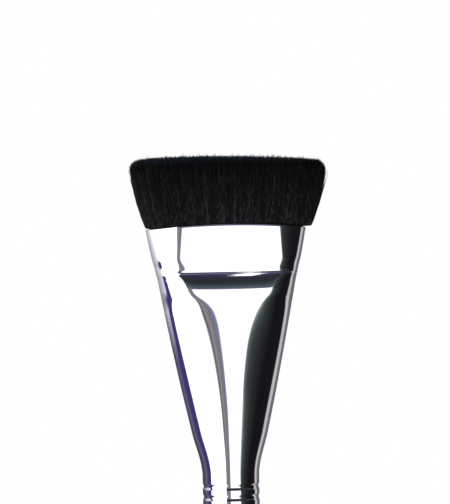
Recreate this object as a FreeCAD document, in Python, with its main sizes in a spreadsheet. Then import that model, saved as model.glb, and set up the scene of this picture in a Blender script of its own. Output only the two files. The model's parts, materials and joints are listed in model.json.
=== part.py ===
import FreeCAD, Part
import math
import os

import Sketcher

# Flat stencil brush: turned wooden handle, pressed metal ferrule and a dense straight-cut tuft.
# Millimetres, +Z up along the brush, origin at the middle of the handle's flat butt.
# X runs across the width of the tuft, and the two broad faces look along -Y and +Y.

Vector = FreeCAD.Vector

# Driving dimensions, millimetres and degrees. Heights are measured from the butt,
# drops are measured downwards from the ferrule's lip. A shape that is trimmed runs past
# its trimmed edge by the overrun, and the trimming outline reaches to the trim half span.
SIZES = {
    "lip_height": 164.2,
    "lip_arc_radius": 108.0,
    "ferrule_length": 45.0,
    "cone_length": 40.0,
    "wall": 0.35,
    "mouth_half_width": 12.95,
    "mouth_half_depth": 4.6,
    "mouth_turn": 3.0,
    "panel_drop": 7.2,
    "panel_half_depth": 4.7,
    "crease_drop": 7.62,
    "crease_half_depth": 4.5,
    "shoulder_drop": 10.75,
    "shoulder_rise": 1.15,
    "neck_radius": 4.5,
    "crimp_depth": 0.15,
    "crimp_width": 0.9,
    "crimp_pitch": 1.7,
    "tenon_radius": 3.9,
    "tenon_length": 20.0,
    "tenon_chamfer": 0.8,
    "glue_gap": 0.03,
    "neck_handle_radius": 4.65,
    "butt_radius": 4.0,
    "butt_rounding": 1.4,
    "hole_height": 13.0,
    "hole_radius": 1.6,
    "root_drop": 12.0,
    "root_half_width": 9.4,
    "root_half_depth": 3.9,
    "root_straight": 1.6,
    "thread_radius": 0.2,
    "thread_pitch": 0.39,
    "resin_length": 7.0,
    "fit_gap": 0.1,
    "tuft_length": 10.8,
    "tuft_base_half_width": 13.35,
    "tuft_top_half_width": 15.75,
    "tuft_base_half_depth": 4.9,
    "tuft_top_half_depth": 5.65,
    "tuft_turn": 4.0,
    "tuft_crown_radius": 211.0,
    "collar_height": 3.0,
    "bend_height": 4.3,
    "bend_radius": 5.3,
    "seat_gap": 0.3,
    "seat_rim_angle": 10.0,
    "overrun": 2.0,
    "trim_half_span": 20.0,
}
CRIMPS = 2
THREAD_TURNS = 3

# Funnel below the shoulder, at evenly spaced stations: half depth and corner turn.
FUNNEL = ((5.76, 12.0), (5.71, 21.0), (5.55, 29.0), (5.25, 35.0), (4.88, 40.0))
# Rounding of the shoulder: part of its height, and corner turn there.
SHOULDER = ((0.0, 3.2), (0.33, 3.6), (0.67, 4.2), (1.0, 5.0))
# Turned handle: height and radius between butt and ferrule.
HANDLE = ((6.0, 4.7), (14.0, 4.5), (27.0, 3.7), (50.0, 4.7), (78.0, 6.1), (98.0, 6.0), (112.0, 5.05))

for number, (half_depth, turn) in enumerate(FUNNEL, start=1):
    SIZES[f"funnel_half_depth_{number}"] = half_depth
    SIZES[f"funnel_turn_{number}"] = turn
for number, (part, turn) in enumerate(SHOULDER, start=1):
    SIZES[f"shoulder_part_{number}"] = part
    SIZES[f"shoulder_turn_{number}"] = turn
for number, (height, radius) in enumerate(HANDLE, start=1):
    SIZES[f"handle_height_{number}"] = height
    SIZES[f"handle_radius_{number}"] = radius

doc = FreeCAD.newDocument("flat_stencil_brush")
sheet = doc.addObject("Spreadsheet::Sheet", "sizes")
for row, (alias, number) in enumerate(SIZES.items(), start=1):
    sheet.set(f"A{row}", alias)
    sheet.set(f"B{row}", str(number))
    sheet.setAlias(f"B{row}", alias)
doc.recompute()


def size(expression):
    """Number that an expression on the sheet gives."""
    result = sheet.evalExpression(expression)
    return float(getattr(result, "Value", result))


def new_body(name):
    body = doc.addObject("PartDesign::Body", name)
    body.Label = name
    return body


def new_sketch(body, name, plane, height=None):
    """Sketch on one of the body's own origin planes, lifted to a height given as an expression."""
    sketch = body.newObject("Sketcher::SketchObject", name)
    support = [f for f in body.Origin.OriginFeatures if f.Role == plane][0]
    sketch.AttachmentSupport = (support, [""])
    sketch.MapMode = "FlatFace"
    if height is not None:
        sketch.setExpression("AttachmentOffset.Base.z", height)
    return sketch


def constrain(sketch, name, expression, kind, *references):
    """Add a dimension and bind it to the sheet."""
    number = size(expression)
    if kind == "Angle":
        number = math.radians(number)
    index = sketch.addConstraint(Sketcher.Constraint(kind, *references, number))
    sketch.renameConstraint(index, name)
    sketch.setExpression("Constraints." + name, expression)


def arc(centre_x, centre_y, radius, start_degrees, end_degrees):
    circle = Part.Circle(Vector(centre_x, centre_y, 0), Vector(0, 0, 1), radius)
    return Part.ArcOfCircle(circle, math.radians(start_degrees), math.radians(end_degrees))


def centred_circle(sketch, name, radius):
    """Circle about the sketch's origin."""
    circle = Part.Circle(Vector(0, 0, 0), Vector(0, 0, 1), size(radius))
    index = sketch.addGeometry(circle, False)
    sketch.addConstraint(Sketcher.Constraint("Coincident", index, 3, -1, 1))
    constrain(sketch, name, radius, "Radius", index)


def disc_sketch(body, name, height, radius):
    """Circle round the brush's axis, at a height."""
    sketch = new_sketch(body, name, "XY_Plane", height)
    centred_circle(sketch, "radius", radius)
    return sketch


def round_sketch(body, name, plane, across, up, radius):
    """Circle in an upright plane, beside the axis or on it where across is None."""
    sketch = new_sketch(body, name, plane)
    centre = Vector(size(across) if across else 0, size(up), 0)
    sketch.addGeometry(Part.Circle(centre, Vector(0, 0, 1), size(radius)), False)
    if across:
        constrain(sketch, "across", across, "DistanceX", -1, 1, 0, 3)
    else:
        sketch.addConstraint(Sketcher.Constraint("PointOnObject", 0, 3, -2))
    constrain(sketch, "up", up, "DistanceY", -1, 1, 0, 3)
    constrain(sketch, "radius", radius, "Radius", 0)
    return sketch


def oval_sketch(body, name, height, half_width, half_depth, turn, wall=None):
    """Four-arc oval: two broad faces of a large radius, joined by two small round ends.

    turn is the angle that each broad face has turned through where it meets an end,
    so 45 on equal half sizes gives a circle. A wall adds the same oval inside the first,
    its arcs about the same centres.
    """
    sketch = new_sketch(body, name, "XY_Plane", height)
    wide, deep, angle = size(half_width), size(half_depth), size(turn)
    sine, cosine = math.sin(math.radians(angle)), math.cos(math.radians(angle))
    rest = (1 - sine) / cosine
    face_radius = (wide - rest * deep) / (sine - rest * (1 - cosine))
    end_radius = (deep - face_radius * (1 - cosine)) / cosine
    corner = Vector(face_radius * sine, deep - face_radius * (1 - cosine), 0)
    right, back, left, front = 0, 1, 2, 3
    sketch.addGeometry([
        arc(wide - end_radius, 0, end_radius, angle - 90, 90 - angle),
        arc(0, deep - face_radius, face_radius, 90 - angle, 90 + angle),
        arc(end_radius - wide, 0, end_radius, 90 + angle, 270 - angle),
        arc(0, face_radius - deep, face_radius, 270 - angle, 270 + angle),
    ], False)
    spoke, tip, crown = 4, 5, 6
    sketch.addGeometry([
        Part.LineSegment(Vector(0, deep - face_radius, 0), corner),
        Part.Point(Vector(wide, 0, 0)),
        Part.Point(Vector(0, deep, 0)),
    ], True)
    x_axis, y_axis = -1, -2
    ring = (right, back, left, front)
    for here, after in zip(ring, ring[1:] + ring[:1]):
        sketch.addConstraint(Sketcher.Constraint("Coincident", here, 2, after, 1))
    for side, axis, level in ((right, x_axis, "Vertical"), (back, y_axis, "Horizontal"),
                              (left, x_axis, "Vertical")):
        sketch.addConstraint(Sketcher.Constraint("PointOnObject", side, 3, axis))
        sketch.addConstraint(Sketcher.Constraint(level, side, 1, side, 2))
    sketch.addConstraint([
        Sketcher.Constraint("Equal", right, left),
        Sketcher.Constraint("Equal", back, front),
        Sketcher.Constraint("Coincident", spoke, 1, back, 3),
        Sketcher.Constraint("Coincident", spoke, 2, right, 2),
        Sketcher.Constraint("PointOnObject", right, 3, spoke),
        Sketcher.Constraint("PointOnObject", tip, 1, x_axis),
        Sketcher.Constraint("PointOnObject", tip, 1, right),
        Sketcher.Constraint("PointOnObject", crown, 1, y_axis),
        Sketcher.Constraint("PointOnObject", crown, 1, back),
    ])
    constrain(sketch, "half_width", half_width, "DistanceX", -1, 1, tip, 1)
    constrain(sketch, "half_depth", half_depth, "DistanceY", -1, 1, crown, 1)
    constrain(sketch, "spoke_angle", f"90 - ({turn})", "Angle", spoke)
    if wall is None:
        return sketch
    inner_ring = []
    for side in ring:
        outer = sketch.Geometry[side]
        circle = Part.Circle(outer.Center, Vector(0, 0, 1), outer.Radius - size(wall))
        inner = Part.ArcOfCircle(circle, outer.FirstParameter, outer.LastParameter)
        inner_ring.append(sketch.addGeometry(inner, False))
    for here, after in zip(inner_ring, inner_ring[1:] + inner_ring[:1]):
        sketch.addConstraint(Sketcher.Constraint("Coincident", here, 2, after, 1))
    for side, level in ((right, "Vertical"), (back, "Horizontal"), (left, "Vertical")):
        inner = inner_ring[side]
        sketch.addConstraint(Sketcher.Constraint("Coincident", inner, 3, side, 3))
        sketch.addConstraint(Sketcher.Constraint(level, inner, 1, inner, 2))
    sketch.addConstraint(Sketcher.Constraint("Equal", inner_ring[back], inner_ring[front]))
    sketch.addConstraint(Sketcher.Constraint("PointOnObject", inner_ring[right], 2, spoke))
    constrain(sketch, "wall", wall, "Distance", right, 2, inner_ring[right], 2)
    return sketch


def outline_sketch(body, name, plane, points, arc_centre, arc_radius):
    """Closed outline of straight runs and one arc.

    points are pairs of expressions. The outline goes round them in order, and the arc,
    counter-clockwise about a centre on the upright axis, runs from the last to the first.
    """
    sketch = new_sketch(body, name, plane)
    places = [Vector(size(across), size(up), 0) for across, up in points]
    centre_up, radius = size(arc_centre), size(arc_radius)
    angles = [math.degrees(math.atan2(p.y - centre_up, p.x)) for p in (places[-1], places[0])]
    runs = [Part.LineSegment(here, after) for here, after in zip(places, places[1:])]
    last = len(runs)
    sketch.addGeometry(runs + [arc(0, centre_up, radius, *angles)], False)
    for index in range(last - 1):
        sketch.addConstraint(Sketcher.Constraint("Coincident", index, 2, index + 1, 1))
    sketch.addConstraint(Sketcher.Constraint("Coincident", last - 1, 2, last, 1))
    sketch.addConstraint(Sketcher.Constraint("Coincident", last, 2, 0, 1))
    sketch.addConstraint(Sketcher.Constraint("PointOnObject", last, 3, -2))
    constrain(sketch, "arc_centre", arc_centre, "DistanceY", -1, 1, last, 3)
    constrain(sketch, "arc_radius", arc_radius, "Radius", last)
    for index, (across, up) in enumerate(points):
        constrain(sketch, f"across_{index}", across, "DistanceX", -1, 1, min(index, last - 1),
                  1 if index < last else 2)
        if 0 < index < last:
            constrain(sketch, f"up_{index}", up, "DistanceY", -1, 1, index, 1)
    return sketch


def loft(body, name, sections, ruled=True):
    feature = body.newObject("PartDesign::AdditiveLoft", name)
    feature.Profile = sections[0]
    feature.Sections = sections[1:]
    feature.Ruled = ruled
    return feature


def pad(body, name, sketch, length):
    feature = body.newObject("PartDesign::Pad", name)
    feature.Profile = sketch
    feature.setExpression("Length", length)
    return feature


def cut_through(body, name, sketch):
    """Pocket that runs right through the body, both ways from its sketch."""
    doc.recompute()
    before = body.Shape.Volume
    feature = body.newObject("PartDesign::Pocket", name)
    feature.Profile = sketch
    feature.SideType = "Symmetric"
    feature.Type = "ThroughAll"
    doc.recompute()
    if body.Shape.Volume >= before:
        raise RuntimeError(name + " cuts nothing")
    return feature


def pattern(body, name, feature, sketch, occurrences, pitch):
    """Repeat a feature upwards."""
    doc.recompute()
    repeat = body.newObject("PartDesign::LinearPattern", name)
    repeat.Originals = [feature]
    repeat.Direction = (sketch, ["V_Axis"])
    repeat.Mode = "Spacing"
    repeat.Occurrences = occurrences
    repeat.setExpression("Offset", pitch)
    body.Tip = repeat
    return repeat


def edge_names(body, height):
    """Names of the edges that lie wholly at one height."""
    doc.recompute()
    return [
        f"Edge{number}"
        for number, edge in enumerate(body.Shape.Edges, start=1)
        if abs(edge.BoundBox.ZMin - height) < 0.001 and abs(edge.BoundBox.ZMax - height) < 0.001
    ]


def below_lip(drop):
    return f"sizes.lip_height - ({drop})"


def side_half_width(drop, inset="0"):
    """Half width of the ferrule, whose sides run straight from mouth to neck."""
    slope = "(sizes.mouth_half_width - sizes.neck_radius) / sizes.cone_length"
    return f"sizes.mouth_half_width - {slope} * ({drop}) - {inset}"


# A four-arc oval of equal half sizes is a circle when its corners turn by this much.
ROUND = "45"

# Ferrule stations from the rim down: drop, half depth and corner turn.
RIM = ("-sizes.overrun", "sizes.mouth_half_depth", "sizes.mouth_turn")
PANEL = ("sizes.panel_drop", "sizes.panel_half_depth", "sizes.mouth_turn")
ROUND_SHOULDER = [
    (
        f"sizes.crease_drop + sizes.shoulder_part_{i} * (sizes.shoulder_drop - sizes.crease_drop)",
        f"sizes.crease_half_depth + sizes.shoulder_rise * (1 - (1 - sizes.shoulder_part_{i})^2)",
        f"sizes.shoulder_turn_{i}",
    )
    for i in range(1, len(SHOULDER) + 1)
]
CONE = [
    (
        f"sizes.shoulder_drop + (sizes.cone_length - sizes.shoulder_drop) * {i} / {len(FUNNEL) + 1}",
        f"sizes.funnel_half_depth_{i}",
        f"sizes.funnel_turn_{i}",
    )
    for i in range(1, len(FUNNEL) + 1)
]
NECK_TOP = ("sizes.cone_length", "sizes.neck_radius", ROUND)
CRIMP_RADIUS = "(sizes.crimp_width^2 / 4 + sizes.crimp_depth^2) / (2 * sizes.crimp_depth)"


def press_tube(body):
    """The pressed tube: panel, crease groove, shoulder with funnel, and neck."""
    def section(label, station):
        drop, half_depth, turn = station
        return oval_sketch(body, label, below_lip(drop), side_half_width(drop), half_depth, turn,
                           "sizes.wall")

    rim = section("rim", RIM)
    panel = section("panel", PANEL)
    shoulder = [section(f"shoulder_{i}", station) for i, station in enumerate(ROUND_SHOULDER)]
    funnel = [section(f"funnel_{i}", station) for i, station in enumerate(CONE + [NECK_TOP])]
    foot = oval_sketch(body, "foot", below_lip("sizes.ferrule_length"),
                       "sizes.neck_radius", "sizes.neck_radius", ROUND, "sizes.wall")
    loft(body, "panel_loft", [rim, panel])
    loft(body, "crease_loft", [panel, shoulder[0]])
    loft(body, "shoulder_loft", shoulder, ruled=False)
    loft(body, "funnel_loft", shoulder[-1:] + funnel, ruled=False)
    loft(body, "neck_loft", [funnel[-1], foot])


def arched_outline(body, name, top, arc_radius):
    """Everything above a gently arched edge that is highest in the middle."""
    centre = f"{top} - {arc_radius}"
    end = f"{centre} + sqrt(({arc_radius})^2 - sizes.trim_half_span^2)"
    above = f"{top} + 2 * sizes.overrun"
    points = [
        ("-sizes.trim_half_span", end),
        ("-sizes.trim_half_span", above),
        ("sizes.trim_half_span", above),
        ("sizes.trim_half_span", end),
    ]
    return outline_sketch(body, name, "XZ_Plane", points, centre, arc_radius)


def build_ferrule():
    body = new_body("ferrule")
    press_tube(body)
    cut_through(body, "lip_cut", arched_outline(body, "lip_outline", "sizes.lip_height",
                                                "sizes.lip_arc_radius"))
    crimp = round_sketch(body, "crimp_profile", "XZ_Plane",
                         f"sizes.neck_radius - sizes.crimp_depth + {CRIMP_RADIUS}",
                         below_lip("sizes.ferrule_length - sizes.crimp_pitch"), CRIMP_RADIUS)
    groove = body.newObject("PartDesign::Groove", "crimp")
    groove.Profile = crimp
    groove.ReferenceAxis = (crimp, ["V_Axis"])
    groove.Angle = 360
    pattern(body, "crimps", groove, crimp, CRIMPS, "sizes.crimp_pitch")
    return body


def build_handle():
    body = new_body("handle")
    shoulder = below_lip("sizes.ferrule_length")
    stations = [("0", "sizes.butt_radius")]
    stations += [(f"sizes.handle_height_{i}", f"sizes.handle_radius_{i}")
                 for i in range(1, len(HANDLE) + 1)]
    stations += [(shoulder, "sizes.neck_handle_radius")]
    circles = [disc_sketch(body, f"turning_{i}", height, radius)
               for i, (height, radius) in enumerate(stations)]
    loft(body, "turned_grip", circles, ruled=False)
    tenon = pad(body, "tenon", disc_sketch(body, "tenon_circle", shoulder, "sizes.tenon_radius"),
                "sizes.tenon_length")
    tenon_edges = edge_names(body, size(f"{shoulder} + sizes.tenon_length"))
    chamfer = body.newObject("PartDesign::Chamfer", "tenon_chamfer")
    chamfer.Base = (tenon, tenon_edges)
    chamfer.setExpression("Size", "sizes.tenon_chamfer")
    butt_edges = edge_names(body, 0.0)
    fillet = body.newObject("PartDesign::Fillet", "butt_fillet")
    fillet.Base = (chamfer, butt_edges)
    fillet.setExpression("Radius", "sizes.butt_rounding")
    cut_through(body, "hanging_hole", round_sketch(body, "hole_circle", "XZ_Plane", None,
                                                   "sizes.hole_height", "sizes.hole_radius"))
    return body


def build_adhesive():
    """Glue line round the tenon, inside the ferrule's neck."""
    body = new_body("handle_adhesive")
    foot = below_lip("sizes.ferrule_length - sizes.fit_gap")
    ring = disc_sketch(body, "glue_ring", foot, "sizes.neck_radius - sizes.wall - sizes.glue_gap")
    centred_circle(ring, "bore", "sizes.tenon_radius + sizes.glue_gap")
    pad(body, "glue_line", ring, "sizes.ferrule_length - sizes.cone_length - 2 * sizes.fit_gap")
    return body


def build_resin():
    """Epoxy plug that holds the filament roots."""
    body = new_body("root_resin")
    inset = "(sizes.wall + sizes.fit_gap)"
    top, foot = "sizes.root_drop + sizes.glue_gap", "sizes.root_drop + sizes.resin_length"
    sections = [
        oval_sketch(body, "resin_top", below_lip(top), side_half_width(top, inset),
                    f"sizes.funnel_half_depth_1 - {inset} - sizes.fit_gap", "sizes.funnel_turn_1"),
        oval_sketch(body, "resin_foot", below_lip(foot), side_half_width(foot, inset),
                    f"sizes.funnel_half_depth_2 - {inset} - sizes.fit_gap", "sizes.funnel_turn_2"),
    ]
    loft(body, "resin_plug", sections)
    return body


def root_section(body, name, drop, growth="0"):
    return oval_sketch(body, name, below_lip(drop), f"sizes.root_half_width + {growth}",
                       f"sizes.root_half_depth + {growth}", "sizes.tuft_turn")


def build_thread():
    """Turns of binding thread round the filament roots."""
    body = new_body("binding_thread")
    drop = "sizes.root_drop - sizes.thread_radius - sizes.fit_gap"
    path = root_section(body, "thread_path", drop, "sizes.thread_radius + sizes.glue_gap")
    profile = round_sketch(body, "thread_profile", "XZ_Plane",
                           "sizes.root_half_width + sizes.thread_radius + sizes.glue_gap",
                           below_lip(drop), "sizes.thread_radius")
    turn = body.newObject("PartDesign::AdditivePipe", "thread_turn")
    turn.Profile = profile
    turn.Spine = (path, [])
    pattern(body, "thread_turns", turn, profile, THREAD_TURNS, "sizes.thread_pitch")
    return body


def tuft_section(body, name, height):
    """Section of the flared tuft at a height above the lip."""
    share = f"({height}) / sizes.tuft_length"
    half_width = ("sizes.tuft_base_half_width + "
                  f"(sizes.tuft_top_half_width - sizes.tuft_base_half_width) * {share}")
    half_depth = ("sizes.tuft_base_half_depth + "
                  f"(sizes.tuft_top_half_depth - sizes.tuft_base_half_depth) * {share}")
    return oval_sketch(body, name, below_lip(f"-({height})"), half_width, half_depth,
                       "sizes.tuft_turn")


def mouth_section(body, name, drop, clearance):
    """Section of the filaments where they stand inside the ferrule's mouth."""
    inset = f"(sizes.wall + {clearance})"
    return oval_sketch(body, name, below_lip(drop), side_half_width(drop, inset),
                       f"sizes.mouth_half_depth - {inset}", "sizes.tuft_turn")


def bend_outline(body, name, radius, far_height):
    """Outline in the YZ plane from the round seat of the bend to a far height."""
    axis = "sizes.lip_height + sizes.bend_height"
    across = f"({radius}) * cos(sizes.seat_rim_angle)"
    rim = f"{axis} - ({radius}) * sin(sizes.seat_rim_angle)"
    wide = "sizes.trim_half_span"
    points = [(across, rim), (wide, rim), (wide, far_height),
              (f"-{wide}", far_height), (f"-{wide}", rim), (f"-({across})", rim)]
    return outline_sketch(body, name, "YZ_Plane", points, axis, radius)


def build_tuft_root():
    """Filament roots in the ferrule, with the seat that the bending part rolls in."""
    body = new_body("tuft_root")
    foot = root_section(body, "root_foot", "sizes.root_drop")
    waist = root_section(body, "root_waist", "sizes.root_drop - sizes.root_straight")
    mouth = mouth_section(body, "root_mouth", "-sizes.glue_gap", "sizes.fit_gap")
    loft(body, "root_bound", [foot, waist])
    loft(body, "root_spread", [waist, mouth])
    collar = [tuft_section(body, "collar_foot", "sizes.glue_gap"),
              tuft_section(body, "collar_top", "sizes.collar_height")]
    loft(body, "root_collar", collar)
    cut_through(body, "bend_seat", bend_outline(body, "seat_outline",
                                                "sizes.bend_radius + sizes.seat_gap",
                                                "sizes.lip_height + 2 * sizes.tuft_length"))
    return body


def build_tuft():
    """Free length of the filaments, which bends to the front and to the back."""
    body = new_body("tuft")
    lower = [mouth_section(body, "stem_foot", "sizes.overrun", "sizes.seat_gap"),
             mouth_section(body, "stem_top", "-2 * sizes.seat_gap", "sizes.seat_gap")]
    upper = [tuft_section(body, "tuft_foot", "sizes.seat_gap"),
             tuft_section(body, "tuft_top", "sizes.tuft_length + sizes.overrun")]
    loft(body, "tuft_stem", lower)
    loft(body, "tuft_block", upper)
    cut_through(body, "straight_cut", arched_outline(body, "crown_outline",
                                                     "sizes.lip_height + sizes.tuft_length",
                                                     "sizes.tuft_crown_radius"))
    cut_through(body, "bend_underside", bend_outline(body, "underside_outline",
                                                     "sizes.bend_radius",
                                                     below_lip("sizes.root_drop")))
    return body


def check_document():
    """Stop if any object failed, before anything is written."""
    for item in doc.Objects:
        if "Invalid" in item.State or "Error" in item.State:
            raise RuntimeError(f"{item.Name} failed: {item.State} {item.getStatusString()}")


def export(bodies):
    os.makedirs("parts", exist_ok=True)
    for body in bodies:
        if body.Shape.isNull() or not body.Shape.isValid():
            raise RuntimeError(body.Label + " has no valid shape")
    for body in bodies:
        body.Shape.exportStep(f"parts/{body.Label}.step")
        box = body.Shape.BoundBox
        print(f"{body.Label}: {body.Shape.Volume:.1f} mm3, {len(body.Shape.Solids)} solids, "
              f"z {box.ZMin:.2f} to {box.ZMax:.2f}, {box.XLength:.2f} x {box.YLength:.2f}")


bodies = [
    build_handle(),
    build_adhesive(),
    build_ferrule(),
    build_resin(),
    build_thread(),
    build_tuft_root(),
    build_tuft(),
]
doc.recompute()
check_document()
export(bodies)
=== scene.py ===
import json
import math

import bpy
import numpy as np
from mathutils import Matrix, Vector


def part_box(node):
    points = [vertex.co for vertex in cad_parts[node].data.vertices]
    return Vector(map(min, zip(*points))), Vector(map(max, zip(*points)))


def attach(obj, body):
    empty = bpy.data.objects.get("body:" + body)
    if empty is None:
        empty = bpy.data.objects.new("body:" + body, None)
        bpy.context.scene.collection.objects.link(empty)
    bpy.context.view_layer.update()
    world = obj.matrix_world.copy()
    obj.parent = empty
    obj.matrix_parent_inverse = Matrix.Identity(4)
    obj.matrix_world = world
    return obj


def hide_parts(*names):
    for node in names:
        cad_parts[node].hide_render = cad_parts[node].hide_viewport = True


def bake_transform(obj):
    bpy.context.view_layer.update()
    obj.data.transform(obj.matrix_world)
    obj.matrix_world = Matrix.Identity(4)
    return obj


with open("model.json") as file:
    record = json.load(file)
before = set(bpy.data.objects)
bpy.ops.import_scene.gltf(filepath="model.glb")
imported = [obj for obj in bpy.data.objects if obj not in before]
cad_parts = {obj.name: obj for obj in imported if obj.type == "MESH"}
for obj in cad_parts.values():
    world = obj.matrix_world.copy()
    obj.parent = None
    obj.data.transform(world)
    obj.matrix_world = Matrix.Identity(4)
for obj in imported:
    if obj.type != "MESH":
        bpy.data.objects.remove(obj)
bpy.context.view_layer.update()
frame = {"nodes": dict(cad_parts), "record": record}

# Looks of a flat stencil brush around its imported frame: metres, +Z up along the brush.
nodes = frame["nodes"]

MM = 0.001
HANGING_HOLE = next(m for m in frame["record"]["mounts"] if m["name"] == "hanging_hole")
HOLE_HEIGHT = HANGING_HOLE["pos_m"][2]
HOLE_RADIUS = HANGING_HOLE["dims"]["r_mm"] * MM
HOLE_MARGIN = 0.02 * MM
STATIC_BODY = "handle_and_ferrule"

ferrule_low, ferrule_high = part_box("ferrule")
tuft_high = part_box("tuft")[1]
root_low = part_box("tuft_root")[0]
LIP = ferrule_high.z
TUFT_TOP = tuft_high.z
TUFT_LENGTH = TUFT_TOP - LIP

# Camera, from the photograph's side: a long lens, level, a little left of square on.
CAMERA_AZIMUTH = math.radians(-7.0)
CAMERA_ROLL = math.radians(1.2)
CAMERA_DISTANCE = 0.5
VIEW_HEIGHT = 80.0 * MM
VIEW_CENTRE_DROP = 4.5 * MM
VIEW_CENTRE_SIDE = -0.20 * MM
SENSOR = 36.0

# Tuft: half sizes of the ferrule's mouth over the metal, how far the free tuft stands past them,
# how far inside them the bundle lies at the lip, and the shape of its fan. Each face of its oval
# section turns through TUFT_TURN both ways from the middle.
METAL_HALF_WIDTH = 12.79 * MM
METAL_HALF_DEPTH = 4.6 * MM
BASE_OVERHANG = 0.46 * MM
BASE_PROUD = 0.3 * MM
MOUTH_INSET = 0.75 * MM
PINCH_HEIGHT = 0.07 * MM
TUFT_FLARE = 2.40 * MM
FLARE_POWER = 1.55
TUFT_TURN = math.radians(4.0)
# Above SHIFT_HEIGHT it stands a little to one side, and it leans further that way.
TUFT_SHIFT = 0.44 * MM
TUFT_LEAN = 0.05 * MM
SHIFT_HEIGHT = 0.12 * MM
# The cut: a shallow dome with a slight slope, rounded off at both corners.
TRIM = 0.38 * MM
TRIM_SLOPE = 0.018
CROWN_RADIUS = 211.0 * MM
CORNER_REACH = 3.2 * MM
CORNER_DROP = 1.1 * MM
CORNER_POWER = 3.5
# The ferrule's lip is a shallow arch.
LIP_ARC_RADIUS = 108.0 * MM


# ---------------------------------------------------------------- node helpers

def new_material(name, **sockets):
    """Material with a Principled shader whose own sockets are set."""
    material = bpy.data.materials.new(name)
    material.use_nodes = True
    shader = material.node_tree.nodes["Principled BSDF"]
    for socket, value in sockets.items():
        shader.inputs[socket.replace("_", " ")].default_value = value
    return material, material.node_tree, shader


def link_object(name, data):
    """New object in the scene."""
    item = bpy.data.objects.new(name, data)
    bpy.context.scene.collection.objects.link(item)
    return item


def add(tree, kind, settings=None, **inputs):
    """Node of a kind, with settings on it and values or links on its inputs.

    An input goes by its name, or by its number after an underscore.
    """
    node = tree.nodes.new(kind)
    for key, value in (settings or {}).items():
        setattr(node, key, value)
    for key, value in inputs.items():
        socket = node.inputs[int(key[1:]) if key[1:].isdigit() else key.replace("_", " ")]
        if isinstance(value, bpy.types.NodeSocket):
            tree.links.new(value, socket)
        else:
            socket.default_value = value
    return node


def maths(tree, operation, *values, clamp=False):
    """Math node; its values are numbers or sockets."""
    inputs = {f"_{i}": value for i, value in enumerate(values)}
    settings = {"operation": operation, "use_clamp": clamp}
    return add(tree, "ShaderNodeMath", settings, **inputs).outputs[0]


def scaled(tree, value, gain, offset):
    """A value times a gain, plus an offset."""
    return maths(tree, "ADD", maths(tree, "MULTIPLY", value, gain), offset)


def progress(tree, value, start, length):
    """How far a value has gone from a start over a length, from 0 to 1."""
    return maths(tree, "DIVIDE", maths(tree, "SUBTRACT", value, start), length, clamp=True)


def mixed(tree, factor, first, second, blend="MIX"):
    """Mix of two colours."""
    settings = {"data_type": "RGBA", "blend_type": blend}
    return add(tree, "ShaderNodeMix", settings, Factor=factor, _6=first, _7=second).outputs[2]


def ramp(tree, factor, stops):
    """Linear colour ramp with (position, colour or grey) stops."""
    node = add(tree, "ShaderNodeValToRGB", _0=factor)
    elements = node.color_ramp.elements
    for index, (position, colour) in enumerate(stops):
        element = elements[index] if index < 2 else elements.new(position)
        element.position = position
        element.color = (*(colour if isinstance(colour, tuple) else (colour,) * 3), 1.0)
    return node.outputs[0]


def stretched(tree, scale):
    """Object position, stretched by a scale per axis."""
    place = add(tree, "ShaderNodeTexCoord").outputs["Object"]
    return add(tree, "ShaderNodeMapping", None, Vector=place, Scale=scale).outputs[0]


def object_position(tree):
    """The three coordinates of the object position."""
    place = add(tree, "ShaderNodeTexCoord").outputs["Object"]
    return add(tree, "ShaderNodeSeparateXYZ", None, Vector=place).outputs


def noise(tree, vector, scale, detail=3.0, roughness=0.55):
    """Fractal noise between 0 and 1."""
    return add(tree, "ShaderNodeTexNoise", None, Vector=vector, Scale=scale, Detail=detail,
               Roughness=roughness).outputs[0]


def bump(tree, shader, height, distance, strength, below=None):
    """Bump of a real depth in metres, laid over another bump if one is given."""
    node = add(tree, "ShaderNodeBump", None, Height=height, Distance=distance, Strength=strength)
    if below is not None:
        tree.links.new(below, node.inputs["Normal"])
    tree.links.new(node.outputs[0], shader.inputs["Normal"])
    return node.outputs[0]


# ---------------------------------------------------------------- materials

def nickel():
    """Polished nickel plate with fine polishing lines, faint waviness and a few pits."""
    material, tree, shader = new_material("nickel_plate", Metallic=1.0)
    cloud = noise(tree, stretched(tree, (1, 1, 1)), 160.0, 4.0)
    lines = noise(tree, stretched(tree, (900, 900, 9000)), 1.0, 2.0)
    colour = ramp(tree, cloud, [(0.3, (0.83, 0.82, 0.81)), (0.7, (0.90, 0.89, 0.88))])
    tree.links.new(colour, shader.inputs["Base Color"])
    sheen = scaled(tree, cloud, 0.05, maths(tree, "MULTIPLY", lines, 0.03))
    tree.links.new(maths(tree, "ADD", sheen, 0.02), shader.inputs["Roughness"])
    wave = noise(tree, stretched(tree, (1, 1, 0.35)), 220.0, 1.0)
    waviness = bump(tree, shader, wave, distance=0.0014 * MM, strength=1.0)
    scratches = bump(tree, shader, lines, distance=0.00002 * MM, strength=1.0, below=waviness)
    specks = add(tree, "ShaderNodeTexVoronoi", {"feature": "DISTANCE_TO_EDGE"},
                 Vector=stretched(tree, (1, 1, 1)), Scale=700.0, Randomness=1.0).outputs[0]
    pits = ramp(tree, specks, [(0.0, 0.0), (0.02, 1.0)])
    bump(tree, shader, pits, distance=0.00005 * MM, strength=0.3, below=scratches)
    return material


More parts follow.
